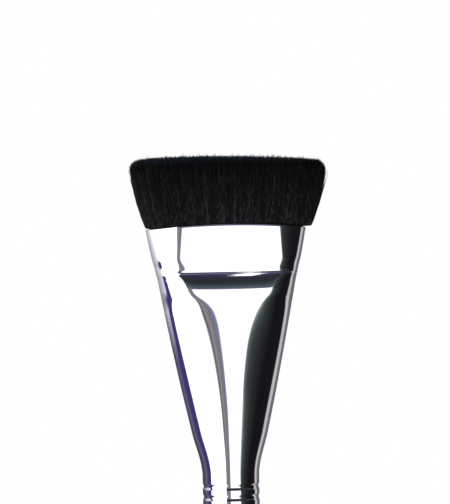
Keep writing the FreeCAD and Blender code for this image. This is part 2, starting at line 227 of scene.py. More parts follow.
def lacquered_wood():
    """Black gloss lacquer over wood, worn to bare wood only inside the hanging hole."""
    material, tree, shader = new_material("lacquered_wood", Specular_IOR_Level=0.5, Coat_Weight=0.6,
                                          Coat_Roughness=0.04)
    grain = noise(tree, stretched(tree, (1, 1, 0.06)), 2600.0, 6.0, 0.65)
    mottle = noise(tree, stretched(tree, (1, 1, 1)), 220.0, 3.0)
    black = ramp(tree, grain, [(0.35, (0.0035, 0.0035, 0.004)), (0.75, (0.009, 0.0085, 0.009))])
    wood = ramp(tree, grain, [(0.3, (0.19, 0.10, 0.045)), (0.7, (0.42, 0.27, 0.14))])
    across, _, above = object_position(tree)
    up = maths(tree, "SUBTRACT", above, HOLE_HEIGHT)
    distance = maths(tree, "SQRT", scaled(tree, across, across, maths(tree, "MULTIPLY", up, up)))
    bare = maths(tree, "LESS_THAN", distance, HOLE_RADIUS + HOLE_MARGIN)
    tree.links.new(mixed(tree, bare, black, wood), shader.inputs["Base Color"])
    gloss = scaled(tree, mottle, 0.10, 0.10)
    rough = maths(tree, "ADD", gloss, maths(tree, "MULTIPLY", bare, 0.5))
    tree.links.new(rough, shader.inputs["Roughness"])
    peel = bump(tree, shader, mottle, distance=0.02 * MM, strength=0.5)
    bump(tree, shader, grain, distance=0.002 * MM, strength=0.35, below=peel)
    return material


def bristle_material():
    """Black filament, uneven from hair to hair, darker towards the tips, which get a painted bluish
    highlight.
    """
    material, tree, shader = new_material("black_bristle", Specular_IOR_Level=0.15)
    shade = add(tree, "ShaderNodeAttribute", {"attribute_name": "shade"}).outputs["Fac"]
    streak = noise(tree, stretched(tree, (1, 1, 0.3)), 4200.0, 2.0)
    tone = scaled(tree, shade, 0.5, scaled(tree, streak, 1.3, -0.4))
    colour = ramp(tree, tone, [(0.2, (0.0004, 0.0004, 0.0014)), (0.46, (0.0030, 0.0030, 0.0052)),
                               (0.6, (0.0145, 0.0145, 0.0175)), (0.72, (0.035, 0.035, 0.038)),
                               (0.85, (0.072, 0.072, 0.074))])
    rise = progress(tree, object_position(tree)[2], LIP, TUFT_LENGTH)
    fade = ramp(tree, rise, [(0.0, 1.0), (0.2, 0.78), (0.45, 0.50), (0.85, 0.20), (1.0, 0.17)])
    darker = mixed(tree, 1.0, colour, fade, "MULTIPLY")
    # Painted highlight: bluish light added to the colour at the top of the tuft, as if the tips
    # were lit from above.
    painted_tip_highlight = ramp(tree, rise, [(0.86, 0.0), (0.97, 1.0)])
    tip = mixed(tree, painted_tip_highlight, darker, (0.008, 0.017, 0.025, 1.0), "ADD")
    tree.links.new(tip, shader.inputs["Base Color"])
    tree.links.new(scaled(tree, streak, 0.2, 0.45), shader.inputs["Roughness"])
    return material


def cured_resin(name, light, dark):
    """Cured glue or epoxy: glossy, a little cloudy, with small bubbles."""
    material, tree, shader = new_material(name, Specular_IOR_Level=0.5)
    cloud = noise(tree, stretched(tree, (1, 1, 1)), 700.0, 4.0)
    tree.links.new(ramp(tree, cloud, [(0.3, dark), (0.7, light)]), shader.inputs["Base Color"])
    tree.links.new(scaled(tree, cloud, 0.25, 0.15), shader.inputs["Roughness"])
    bubbles = add(tree, "ShaderNodeTexVoronoi", None, Vector=stretched(tree, (1, 1, 1)),
                  Scale=1800.0).outputs[0]
    dents = ramp(tree, bubbles, [(0.05, 0.0), (0.3, 1.0)])
    bump(tree, shader, dents, distance=0.01 * MM, strength=0.6)
    return material


def cotton_thread():
    """Waxed cotton thread with a slanting twist."""
    material, tree, shader = new_material("cotton_thread", Roughness=0.75, Sheen_Weight=0.2)
    wave = add(tree, "ShaderNodeTexWave", {"bands_direction": "DIAGONAL"},
               Vector=stretched(tree, (1, 1, 1)), Scale=1400.0, Distortion=1.5, Detail=2.0)
    twist = wave.outputs["Fac"]
    tree.links.new(ramp(tree, twist, [(0.2, (0.30, 0.26, 0.20)), (0.8, (0.62, 0.57, 0.48))]),
                   shader.inputs["Base Color"])
    bump(tree, shader, twist, distance=0.03 * MM, strength=0.8)
    return material


def set_material(piece, material):
    """Give a piece one material."""
    if not piece.material_slots:
        piece.data.materials.append(material)
    for slot in piece.material_slots:
        slot.material = material


# ---------------------------------------------------------------- studio

# The studio as the polished ferrule sees it. Angles are in degrees: azimuth 0 is towards the
# camera, and 90 is to the camera's right. WALLS gives the light that comes from each azimuth.
WALLS = (
    (-180.0, (0.60, 0.58, 0.61)),
    (-150.0, (0.40, 0.39, 0.43)),
    (-130.0, (0.55, 0.52, 0.62)),
    (-116.0, (0.74, 0.70, 0.84)),
    (-104.0, (0.92, 0.89, 1.00)),
    (-96.0, (1.60, 1.60, 1.62)),
    (-19.5, (1.60, 1.60, 1.62)),
    (-18.0, (0.15, 0.17, 0.25)),
    (-15.5, (0.12, 0.12, 0.16)),
    (-12.6, (0.36, 0.315, 0.295)),
    (-10.5, (0.245, 0.225, 0.235)),
    (-7.0, (0.195, 0.195, 0.26)),
    (-2.6, (0.22, 0.245, 0.42)),
    (-1.0, (1.60, 1.60, 1.62)),
    (37.6, (1.60, 1.60, 1.62)),
    (39.2, (0.16, 0.195, 0.21)),
    (41.5, (0.090, 0.110, 0.122)),
    (46.0, (0.046, 0.056, 0.062)),
    (52.0, (0.029, 0.034, 0.038)),
    (64.0, (0.016, 0.017, 0.018)),
    (80.0, (0.008, 0.0075, 0.010)),
    (111.0, (0.010, 0.009, 0.014)),
    (115.0, (0.58, 0.57, 0.54)),
    (126.5, (0.60, 0.59, 0.57)),
    (129.5, (0.19, 0.18, 0.23)),
    (160.0, (0.12, 0.11, 0.17)),
    (168.0, (0.50, 0.49, 0.54)),
    (180.0, (0.60, 0.58, 0.61)),
)
# Added to the walls below GLOW_TOP, and full GLOW_FADE further down, as if the floor lit them.
GLOW_TOP = -6.0
GLOW_FADE = 7.0
LOW_GLOW = (
    (37.5, (0.0, 0.0, 0.0)),
    (39.5, (0.32, 0.38, 0.35)),
    (42.0, (0.10, 0.125, 0.115)),
    (46.0, (0.03, 0.04, 0.036)),
    (56.0, (0.008, 0.012, 0.011)),
    (75.0, (0.0, 0.0, 0.0)),
)
# Light from above the walls: from the lowest wall's top, 0, to straight overhead, 1.
CEILING = (
    (0.00, (0.30, 0.33, 0.43)),
    (0.055, (0.15, 0.17, 0.26)),
    (0.155, (0.08, 0.10, 0.14)),
    (0.30, (0.036, 0.050, 0.054)),
    (0.44, (0.023, 0.026, 0.032)),
    (0.55, (0.027, 0.031, 0.045)),
    (0.68, (0.038, 0.036, 0.105)),
    (0.84, (0.12, 0.11, 0.20)),
    (1.00, (0.20, 0.20, 0.26)),
)
# How high the walls reach at each azimuth: right up on the left, low towards the camera.
WALL_TOP = 4.5
WALL_FADE = 2.0
TALL_WALL = ((-180.0, 89.0), (-26.0, 89.0), (-20.0, WALL_TOP), (39.0, WALL_TOP), (46.0, 24.0))
# Two dark cards on the left, with their heights above the floor in metres. The far one shows low
# on the ferrule, and the near one draws the thin dark line along its left edge.
CARD_BOTTOM = 0.02
FAR_CARD_RADIUS = 0.1
FAR_CARD_TONES = (
    (-180.0, (0.055, 0.055, 0.085)),
    (-150.0, (0.055, 0.058, 0.09)),
    (-130.0, (0.075, 0.078, 0.13)),
    (-117.0, (0.14, 0.14, 0.24)),
    (-108.0, (0.075, 0.070, 0.18)),
    (-96.0, (0.045, 0.040, 0.165)),
)
FAR_CARD_TOPS = ((-180.0, 0.155), (-150.0, 0.148), (-112.0, 0.134), (-96.0, 0.134))
FAR_CARD_FADE = 0.014
NEAR_CARD_RADIUS = 0.026
NEAR_CARD_TONES = ((-94.0, (0.045, 0.040, 0.165)), (-81.0, (0.060, 0.050, 0.22)))
NEAR_CARD_TOPS = ((-94.0, 0.1545), (-90.0, 0.1553), (-81.0, 0.1553))
NEAR_CARD_FADE = 0.002
CARD_STEPS = 40
# The colours of walls and ceiling are divided by this to stay under 1 in their ramps, and the
# light is multiplied by it.
WALL_SPAN = 2.0
BACKDROP = (1.0, 1.0, 1.0, 1.0)
SOFT_FILL = (0.92, 0.93, 0.96, 1.0)
FLOOR_SIDES = 96
FLOOR_RADIUS = 1.4


def camera_axes():
    """Level directions towards the camera and to its right, and straight up."""
    toward = Vector((math.sin(CAMERA_AZIMUTH), -math.cos(CAMERA_AZIMUTH), 0.0))
    right = Vector((math.cos(CAMERA_AZIMUTH), math.sin(CAMERA_AZIMUTH), 0.0))
    return toward, right, Vector((0.0, 0.0, 1.0))


def along(tree, vector, axis):
    """How far a vector reaches along an axis."""
    return add(tree, "ShaderNodeVectorMath", {"operation": "DOT_PRODUCT"}, _0=vector,
               _1=tuple(axis)).outputs["Value"]


def azimuth_of(tree, vector):
    """Azimuth of a vector, from 0 for -180 degrees to 1 for 180."""
    toward, right, _ = camera_axes()
    turn = maths(tree, "ARCTAN2", along(tree, vector, right), along(tree, vector, toward))
    return scaled(tree, turn, 0.5 / math.pi, 0.5)


def azimuth_ramp(tree, azimuth, table, brightest=1.0):
    """Colour ramp over a table of azimuths, with its colours as shares of the brightest."""
    return ramp(tree, azimuth, [((angle + 180.0) / 360.0, tuple(c / brightest for c in colour))
                                for angle, colour in table])


def make_world():
    """White backdrop and soft fill, with the studio's walls seen only in reflections."""
    world = bpy.data.worlds.new("studio")
    bpy.context.scene.world = world
    world.use_nodes = True
    tree = world.node_tree
    tree.nodes.clear()
    direction = add(tree, "ShaderNodeTexCoord").outputs["Generated"]
    azimuth = azimuth_of(tree, direction)
    sine = along(tree, direction, camera_axes()[2])
    height = maths(tree, "MULTIPLY", maths(tree, "ARCSINE", sine), 180.0 / math.pi)
    walls = azimuth_ramp(tree, azimuth, WALLS, WALL_SPAN)
    glow = azimuth_ramp(tree, azimuth, LOW_GLOW, WALL_SPAN)
    walls = mixed(tree, progress(tree, height, GLOW_TOP, -GLOW_FADE), walls, glow, "ADD")
    above = progress(tree, height, WALL_TOP, 90.0 - WALL_TOP)
    ceiling = ramp(tree, above, [(place, tuple(c / WALL_SPAN for c in colour))
                                 for place, colour in CEILING])
    tall = ramp(tree, azimuth, [((angle + 180.0) / 360.0, top / 90.0) for angle, top in TALL_WALL])
    over = progress(tree, height, maths(tree, "MULTIPLY", tall, 90.0), WALL_FADE)
    room = mixed(tree, over, walls, ceiling)
    path = add(tree, "ShaderNodeLightPath")
    fill = add(tree, "ShaderNodeBackground", None, Color=SOFT_FILL, Strength=1.0)
    mirror = add(tree, "ShaderNodeBackground", None, Color=room, Strength=WALL_SPAN)
    backdrop = add(tree, "ShaderNodeBackground", None, Color=BACKDROP, Strength=1.0)
    seen = add(tree, "ShaderNodeMixShader", None, _0=path.outputs["Is Glossy Ray"],
               _1=fill.outputs[0], _2=mirror.outputs[0])
    whole = add(tree, "ShaderNodeMixShader", None, _0=path.outputs["Is Camera Ray"],
                _1=seen.outputs[0], _2=backdrop.outputs[0])
    add(tree, "ShaderNodeOutputWorld", None, Surface=whole.outputs[0])


def make_card(name, radius, tones, edge, fade):
    """Dark curved card on the brush's left, seen only in the ferrule's reflections.

    tones and edge are tables over azimuth: the card's colour, and the height of its top edge,
    which fades out over the length fade.
    """
    toward, right, up = camera_axes()
    spans = np.radians(np.linspace(tones[0][0], tones[-1][0], CARD_STEPS))
    ring = [radius * (math.sin(a) * right + math.cos(a) * toward) for a in spans]
    tops = np.interp(np.degrees(spans), *zip(*edge))
    points = [tuple(p + float(z) * up) for p, top in zip(ring, tops)
              for z in (CARD_BOTTOM, top - fade, top)]
    faces = [(3 * i + j, 3 * i + j + 3, 3 * i + j + 4, 3 * i + j + 1)
             for i in range(CARD_STEPS - 1) for j in range(2)]
    mesh = bpy.data.meshes.new(name)
    mesh.from_pydata(points, [], faces)
    solid = mesh.attributes.new("cover", "FLOAT", "POINT")
    solid.data.foreach_set("value", [1.0, 1.0, 0.0] * CARD_STEPS)
    card = link_object(name, mesh)
    material = bpy.data.materials.new(name)
    material.use_nodes = True
    tree = material.node_tree
    tree.nodes.clear()
    place = add(tree, "ShaderNodeNewGeometry").outputs["Position"]
    tone = azimuth_ramp(tree, azimuth_of(tree, place), tones)
    lit = add(tree, "ShaderNodeEmission", None, Color=tone, Strength=1.0)
    cover = add(tree, "ShaderNodeAttribute", {"attribute_name": "cover"}).outputs["Fac"]
    clear = add(tree, "ShaderNodeBsdfTransparent")
    soft = add(tree, "ShaderNodeMixShader", None, _0=cover, _1=clear.outputs[0], _2=lit.outputs[0])
    add(tree, "ShaderNodeOutputMaterial", None, Surface=soft.outputs[0])
    mesh.materials.append(material)
    card.visible_camera = card.visible_diffuse = False
    card.visible_shadow = card.visible_transmission = False


def make_lights():
    """Two small lamps overhead that the ferrule's shoulder reflects, and a soft key."""
    toward, right, up = camera_axes()
    target = Vector((0.0, 0.0, LIP))

    def area(name, direction, distance, width, length, power):
        """Rectangular light that faces the brush, its width level with the camera's."""
        data = bpy.data.lights.new(name, "AREA")
        data.shape = "RECTANGLE"
        data.size, data.size_y = width, length
        data.energy = power
        lamp = link_object(name, data)
        back = direction.normalized()
        side = (right - right.dot(back) * back).normalized()
        axes = Matrix((side, back.cross(side), back)).transposed().to_4x4()
        lamp.matrix_world = Matrix.Translation(target + distance * back) @ axes
        return lamp

    overhead = 0.215 * right + 0.385 * toward + 0.90 * up
    area("overhead_strip", overhead, distance=0.9, width=0.034, length=0.17, power=0.07)
    area("overhead_glow", overhead, distance=0.88, width=0.052, length=0.23, power=0.025)
    front_left = 0.5 * toward - 0.35 * right + 0.75 * up
    key = area("soft_key", front_left, distance=0.95, width=0.5, length=0.5, power=1.5)
    key.visible_glossy = False


def make_floor():
    """Plain pale floor under the butt, wide enough for a low view."""
    mesh = bpy.data.meshes.new("floor")
    angles = [2 * math.pi * i / FLOOR_SIDES for i in range(FLOOR_SIDES)]
    ring = [(FLOOR_RADIUS * math.cos(a), FLOOR_RADIUS * math.sin(a), 0.0) for a in angles]
    mesh.from_pydata(ring, [], [tuple(range(FLOOR_SIDES))])
    floor = link_object("floor", mesh)
    material, tree, shader = new_material("pale_floor", Specular_IOR_Level=0.2)
    tone = noise(tree, stretched(tree, (1, 1, 1)), 18.0, 5.0)
    tree.links.new(ramp(tree, tone, [(0.3, (0.83, 0.83, 0.825)), (0.7, (0.86, 0.86, 0.855))]),
                   shader.inputs["Base Color"])
    tree.links.new(scaled(tree, tone, 0.1, 0.55), shader.inputs["Roughness"])
    mesh.materials.append(material)
    floor.visible_glossy = False


def make_camera():
    """Level camera, rolled a little, that frames the tuft and the upper ferrule."""
    toward, right, up = camera_axes()
    data = bpy.data.cameras.new("camera")
    data.sensor_width = SENSOR
    data.lens = SENSOR * CAMERA_DISTANCE / VIEW_HEIGHT
    camera = link_object("camera", data)
    aim = Vector((0.0, 0.0, LIP - VIEW_CENTRE_DROP)) + VIEW_CENTRE_SIDE * right
    turned_right = math.cos(CAMERA_ROLL) * right - math.sin(CAMERA_ROLL) * up
    turned_up = math.cos(CAMERA_ROLL) * up + math.sin(CAMERA_ROLL) * right
    axes = Matrix((turned_right, turned_up, toward)).transposed().to_4x4()
    camera.matrix_world = Matrix.Translation(aim + CAMERA_DISTANCE * toward) @ axes
    bpy.context.scene.camera = camera


# ---------------------------------------------------------------- tuft

# Filaments. Lengths are in millimetres, leans and sways are shares of the tuft's perimeter, the
# spill is in clumps, ranges are drawn evenly, and scatters are standard deviations.
SEED = 7
OUTER_COUNT = 3800
TIP_COUNT = 15000
OUTER_HEIGHTS = (-0.5, 0.0, 0.12, 0.8, 2.2, 4.4, 6.6, 8.8, 10.8)
OUTER_TAPER = (1, 1, 1, 1, 1, 0.98, 0.92, 0.8, 0.3)
OUTER_RADII = (0.036, 0.056)
LAYER_DEPTH = 0.75
LAYER_POWER = 1.3
CLUMPS_AROUND = 150
CLUMP_SPILL = 0.22
CLUMP_INSET = 0.16
CLUMP_PULL = (0.2, 0.6)
CLUMP_LEAN = 0.0016
CLUMP_SHADE = 0.07
HAIR_SHADE = 0.2
CUT_SCATTER = 0.22
CLUMP_CUT_SCATTER = 0.03
WOBBLE = (0.02, 0.09)
SWAY = 0.0007
STRAY_SHARE = 0.05
STRAY_REACH = (0.15, 0.8)
# Cut ends inside the tuft, gathered towards the middles of square cells. They slant as the fan
# does above TIP_SLANT_FROM, and its round ends have a radius of ROUND_END times its half depth.
TIP_SLANT_FROM = 1.5
TIP_LENGTHS = (1.2, 2.6)
TIP_SHARES = (0.0, 0.75, 1.0)
TIP_TAPER = (1.0, 0.85, 0.4)
TIP_RADII = (0.042, 0.06)
TIP_EDGE = 0.25
TIP_CELL = 0.45
TIP_GATHER = (0.1, 0.45)
TIP_SCATTER = 0.15
TIP_SHADE = 0.22
ROUND_END = 0.93
# Core: half sizes at the roots, and how far it lies inside the fan and under the cut.
CORE_SIDES = 160
CORE_ROOT = (9.4 * MM, 3.9 * MM)
CORE_ROOT_LENGTH = 1.6 * MM
CORE_INSIDE_HEIGHTS = (-6.0 * MM, -3.0 * MM, -0.6 * MM)
CORE_INSIDE_GAP = (0.3 * MM, 0.2 * MM)
CORE_GAP = (0.55 * MM, 0.5 * MM)
CORE_STEP = 0.5 * MM
CORE_UNDER_CUT = 0.45 * MM
CORE_CUT_FROM = 8 * MM
# Rings that close its top, as shares of its depth, and how far its width follows them.
CAP_RINGS = (0.8, 0.5, 0.2)
CAP_NARROWING = 0.35


def oval(half_width, half_depth, at):
    """Points round a four-arc oval, counter-clockwise, with outward normals.

    at is a number of evenly spaced points, or shares of the perimeter.
    """
    sine, cosine = math.sin(TUFT_TURN), math.cos(TUFT_TURN)
    rest = (1 - sine) / cosine
    face = (half_width - rest * half_depth) / (sine - rest * (1 - cosine))
    end = (half_depth - face * (1 - cosine)) / cosine
    half_end, half_face = end * (math.pi / 2 - TUFT_TURN), face * TUFT_TURN
    lengths = np.array([half_end, 2 * half_face, 2 * half_end, 2 * half_face, half_end])
    marks = np.concatenate([[0.0], np.cumsum(lengths)])
    distance = ((np.arange(at) + 0.5) / at if np.isscalar(at) else at) * marks[-1]
    piece = np.clip(np.searchsorted(marks, distance, side="right") - 1, 0, 4)
    starts = np.array([0.0, math.pi / 2 - TUFT_TURN, math.pi / 2 + TUFT_TURN,
                       1.5 * math.pi - TUFT_TURN, 1.5 * math.pi + TUFT_TURN])
    radii = np.array([end, face, end, face, end])[piece]
    angle = starts[piece] + (distance - marks[piece]) / radii
    centre_x = np.array([half_width - end, 0.0, end - half_width, 0.0, half_width - end])[piece]
    centre_y = np.array([0.0, half_depth - face, 0.0, face - half_depth, 0.0])[piece]
    normal = np.stack([np.cos(angle), np.sin(angle)], -1)
    return np.stack([centre_x, centre_y], -1) + radii[:, None] * normal, normal


def fan_half_sizes(height):
    """Half width and half depth of the tuft at a height above the lip."""
    share = np.clip(height / TUFT_LENGTH, 0.0, 1.0)
    lip_pinch = np.exp(-(np.maximum(height, 0.0) / PINCH_HEIGHT) ** 2)
    base_width = METAL_HALF_WIDTH + BASE_OVERHANG
    base_depth = METAL_HALF_DEPTH + BASE_PROUD
    width = base_width + TUFT_FLARE * (1 - (1 - share) ** FLARE_POWER)
    depth = base_depth + (tuft_high.y - base_depth) * share
    width = width - lip_pinch * (BASE_OVERHANG + MOUTH_INSET)
    depth = depth - lip_pinch * (BASE_PROUD + MOUTH_INSET)
    return float(width), float(depth)


def side_shift(heights):
    """How far the tuft stands to one side at heights over the lip: not at all in the mouth."""
    return (TUFT_SHIFT * np.clip(heights / SHIFT_HEIGHT, 0, 1)
            + TUFT_LEAN * np.clip(heights / TUFT_LENGTH, 0, 1))


def crown(x):
    """Height of the cut tips over the lip: gently domed, and rounded off at both corners."""
    reach = METAL_HALF_WIDTH + BASE_OVERHANG + TUFT_FLARE - CORNER_REACH
    edge = np.maximum(np.abs(x) - reach, 0.0) / CORNER_REACH
    dome = x ** 2 / (2 * CROWN_RADIUS)
    return TUFT_LENGTH - TRIM - TRIM_SLOPE * x - dome - CORNER_DROP * edge ** CORNER_POWER


def lip_fall(x):
    """How far the ferrule's arched lip lies below its middle."""
    return np.minimum(x ** 2, ferrule_high.x ** 2) / (2 * LIP_ARC_RADIUS)


def tube_mesh(name, paths, radii, turns, shade):
    """One mesh of three-sided tapered filaments along paths of the same number of points.

    turns are the angles that the filaments are turned through, and shade is the tone of each.
    """
    count, rings = paths.shape[:2]
    angles = turns[:, None] + np.arange(3) * (2 * math.pi / 3)
    around = np.stack([np.cos(angles), np.sin(angles), np.zeros_like(angles)], -1)
    points = paths[:, :, None, :] + radii[:, :, None, None] * around[:, None, :, :]
    first = (np.arange(count) * rings * 3)[:, None, None]
    ring = (np.arange(rings - 1) * 3)[None, :, None]
    side = np.arange(3)[None, None, :]
    here, beside = first + ring + side, first + ring + (side + 1) % 3
    quads = np.stack([here, beside, beside + 3, here + 3], -1).reshape(-1, 4)
    caps = (np.arange(count) * rings * 3 + (rings - 1) * 3)[:, None] + np.arange(3)
    corners = np.concatenate([quads.ravel(), caps.ravel()]).astype(np.int32)
    starts = np.concatenate([np.arange(len(quads)) * 4, len(quads) * 4 + np.arange(count) * 3])
    mesh = bpy.data.meshes.new(name)
    mesh.vertices.add(points.size // 3)
    mesh.vertices.foreach_set("co", points.astype(np.float32).ravel())
    mesh.loops.add(len(corners))
    mesh.loops.foreach_set("vertex_index", corners)
    mesh.polygons.add(len(starts))
    mesh.polygons.foreach_set("loop_start", starts.astype(np.int32))
    mesh.update(calc_edges=True)
    mesh.polygons.foreach_set("use_smooth", np.ones(len(starts), bool))
    attribute = mesh.attributes.new("shade", "FLOAT", "POINT")
    attribute.data.foreach_set("value", np.repeat(shade, rings * 3).astype(np.float32))
    return link_object(name, mesh)


def outer_filaments(name, count, share_range, rng):
    """Full-length filaments of the tuft's outer layers, over a share of its perimeter."""
    heights = np.array(OUTER_HEIGHTS) * MM
    low, high = share_range
    place = rng.uniform(low, high, count)
    clumps = int(CLUMPS_AROUND * (high - low))
    spill = rng.normal(0, CLUMP_SPILL, count)
    group = ((place - low) / (high - low) * clumps + spill).astype(int)
    group = np.clip(group, 0, clumps - 1)
    centre = low + (group + 0.5) / clumps * (high - low)
    inset = (rng.uniform(0, 1, count) ** LAYER_POWER * LAYER_DEPTH * MM
             + rng.uniform(0, CLUMP_INSET, clumps)[group] * MM)
    pull = rng.uniform(*CLUMP_PULL, clumps)[group]
    lean = rng.normal(0, CLUMP_LEAN, clumps)[group]
    top = (rng.normal(0, CUT_SCATTER, count) * MM
           + rng.normal(0, CLUMP_CUT_SCATTER, clumps)[group] * MM)
    phase = rng.uniform(0, 2 * math.pi, count)
    wobble = rng.uniform(*WOBBLE, count) * MM
    sway = rng.normal(0, SWAY, count)
    strays = rng.uniform(0, 1, count) < STRAY_SHARE
    stray = np.where(strays, rng.uniform(*STRAY_REACH, count), 0) * MM
    paths = np.zeros((count, len(heights), 3))
    span = heights[-1]
    for index, height in enumerate(heights):
        rise = max(height, 0.0) / span
        where = (place + (centre - place) * pull * rise ** 2 + lean * rise ** 2
                 + sway * np.sin(phase + 5 * rise)) % 1.0
        points, normals = oval(*fan_half_sizes(height), where)
        deep = inset * (0.55 + 0.45 * rise) + wobble * np.sin(phase + 7 * rise) * min(1, rise * 4)
        outwards = stray * rise ** 3 - np.maximum(deep, 0.0)
        paths[:, index, :2] = points + normals * outwards[:, None]
    reach = crown(paths[:, -1, 0]) + top
    fall = lip_fall(paths[:, 0, 0])[:, None]
    scale = np.clip(heights / span, 0, 1)
    paths[:, :, 2] = LIP - fall + np.where(heights > 0, scale * (reach[:, None] + fall), heights)
    radii = rng.uniform(*OUTER_RADII, count) * MM
    shade = (0.5 + rng.normal(0, CLUMP_SHADE, clumps)[group]
             + rng.normal(0, HAIR_SHADE, count))
    shade = np.clip(shade, 0, 1)
    paths[:, :, 0] += side_shift(heights)
    turns = rng.uniform(0, 6.28, count)
    return tube_mesh(name, paths, radii[:, None] * np.array(OUTER_TAPER), turns, shade)


def inner_tips(name, count, rng):
    """Cut ends of the filaments inside the tuft, standing just under the crown."""
    half_width, half_depth = fan_half_sizes(TUFT_LENGTH)
    spread = rng.uniform(-1, 1, (count * 2, 2)) * (half_width, half_depth)
    end_radius = half_depth * ROUND_END
    beyond = np.maximum(np.abs(spread[:, 0]) - (half_width - end_radius), 0)
    off_centre = np.hypot(beyond, spread[:, 1] * end_radius / half_depth)
    tip = spread[off_centre < end_radius - TIP_EDGE * MM][:count]
    count = len(tip)
    length = rng.uniform(*TIP_LENGTHS, count) * MM
    base_width, base_depth = fan_half_sizes(TIP_SLANT_FROM * MM)
    shrink = np.array([1 - base_width / half_width, 1 - base_depth / half_depth]) / TUFT_LENGTH
    cell = TIP_CELL * MM
    centre = (np.floor(tip / cell) + 0.5) * cell
    gathered = tip + (centre - tip) * rng.uniform(*TIP_GATHER, count)[:, None]
    reach = crown(tip[:, 0]) + rng.normal(0, TIP_SCATTER, count) * MM
    paths = np.zeros((count, len(TIP_SHARES), 3))
    for index, share in enumerate(TIP_SHARES):
        down = length * (1 - share)
        paths[:, index, :2] = gathered * (1 - shrink * down[:, None])
        paths[:, index, 2] = LIP + reach - down
    paths[:, :, 0] += TUFT_SHIFT + TUFT_LEAN
    radii = rng.uniform(*TIP_RADII, count) * MM
    shade = np.clip(0.5 + rng.normal(0, TIP_SHADE, count), 0, 1)
    turns = rng.uniform(0, 6.28, count)
    return tube_mesh(name, paths, radii[:, None] * np.array(TIP_TAPER), turns, shade)


def core_piece():
    """Packed middle of the bundle, from the roots in the resin to just under the cut tips."""
    root, (root_width, root_depth) = root_low.z - LIP, CORE_ROOT
    straight = root + CORE_ROOT_LENGTH
    sections = [(root, root_width, root_depth), (straight, root_width, root_depth)]
    width, depth = fan_half_sizes(0.0)
    for height in CORE_INSIDE_HEIGHTS:
        share = (height - straight) / -straight
        sections.append((height, root_width + (width - root_width) * share - CORE_INSIDE_GAP[0],
                         root_depth + (depth - root_depth) * share - CORE_INSIDE_GAP[1]))
    for height in np.arange(0.0, TUFT_LENGTH - CORE_STEP, CORE_STEP):
        width, depth = fan_half_sizes(height)
        sections.append((height, width - CORE_GAP[0], depth - CORE_GAP[1]))
    around = CORE_SIDES
    points = []
    for height, width, depth in sections:
        ring, _ = oval(width, depth, around)
        z = np.full(around, height)
        if height > CORE_CUT_FROM:
            z = np.minimum(height, crown(ring[:, 0]) - CORE_UNDER_CUT)
        points.append(np.stack([ring[:, 0] + side_shift(height), ring[:, 1], LIP + z], -1))
    last = points[-1]
    shift = TUFT_SHIFT + TUFT_LEAN
    for shrink in CAP_RINGS:
        cap = last.copy()
        cap[:, 0] = shift + (last[:, 0] - shift) * (1 - (1 - shrink) * CAP_NARROWING)
        cap[:, 1] = last[:, 1] * shrink
        cap[:, 2] = LIP + crown(cap[:, 0] - shift) - CORE_UNDER_CUT
        points.append(cap)
    rings = len(points)
    faces = [(r * around + i, r * around + (i + 1) % around, (r + 1) * around + (i + 1) % around,
              (r + 1) * around + i) for r in range(rings - 1) for i in range(around)]
    faces.append(tuple(range(around))[::-1])
    faces.append(tuple((rings - 1) * around + i for i in range(around)))
    mesh = bpy.data.meshes.new("bristle_core")
    mesh.from_pydata(np.concatenate(points).tolist(), [], faces)
    mesh.polygons.foreach_set("use_smooth", [True] * len(faces))
    mesh.attributes.new("shade", "FLOAT", "POINT")
    return link_object("bristle_core", mesh)


def finish_bristles(piece, material):
    """Material and slot for one piece of the tuft, with its transform applied to its mesh."""
    set_material(piece, material)
    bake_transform(piece)


def make_tuft():
    """The whole tuft with its roots, in four pieces."""
    rng = np.random.default_rng(SEED)
    material = bristle_material()
    core = core_piece()
    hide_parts("tuft", "tuft_root")
    pieces = [
        core,
        outer_filaments("bristles_back", OUTER_COUNT, (0.0, 0.5), rng),
        outer_filaments("bristles_front", OUTER_COUNT, (0.5, 1.0), rng),
        inner_tips("bristle_tips", TIP_COUNT, rng),
    ]
    for piece in pieces:
        finish_bristles(piece, material)


# ---------------------------------------------------------------- ferrule

# Stations down the ferrule: drop below the lip, half width, half depth and half width of the
# pressed face, all in millimetres, then in degrees how softly the face runs into the sides, and
# how crisp the fold along the face's edge is, from 0 to 1.
CREASE_DROP = 7.62
CREASE_HALF_DEPTH = 4.50
LIP_TO_CREASE = (
    (0.0, 12.98, 4.64, 7.98, 2.6, 0.85),
    (4.2, 12.15, 4.66, 8.18, 3.7, 0.75),
    (5.4, 11.90, 4.67, 8.25, 4.1, 0.6),
    (6.2, 11.69, 4.67, 8.08, 4.6, 0.4),
    (6.9, 11.50, 4.67, 7.82, 5.2, 0.2),
    (7.2, 11.44, 4.66, 7.82, 5.3, 0.2),
    (CREASE_DROP, 11.33, CREASE_HALF_DEPTH, 8.15, 3.5, 0.2),
)
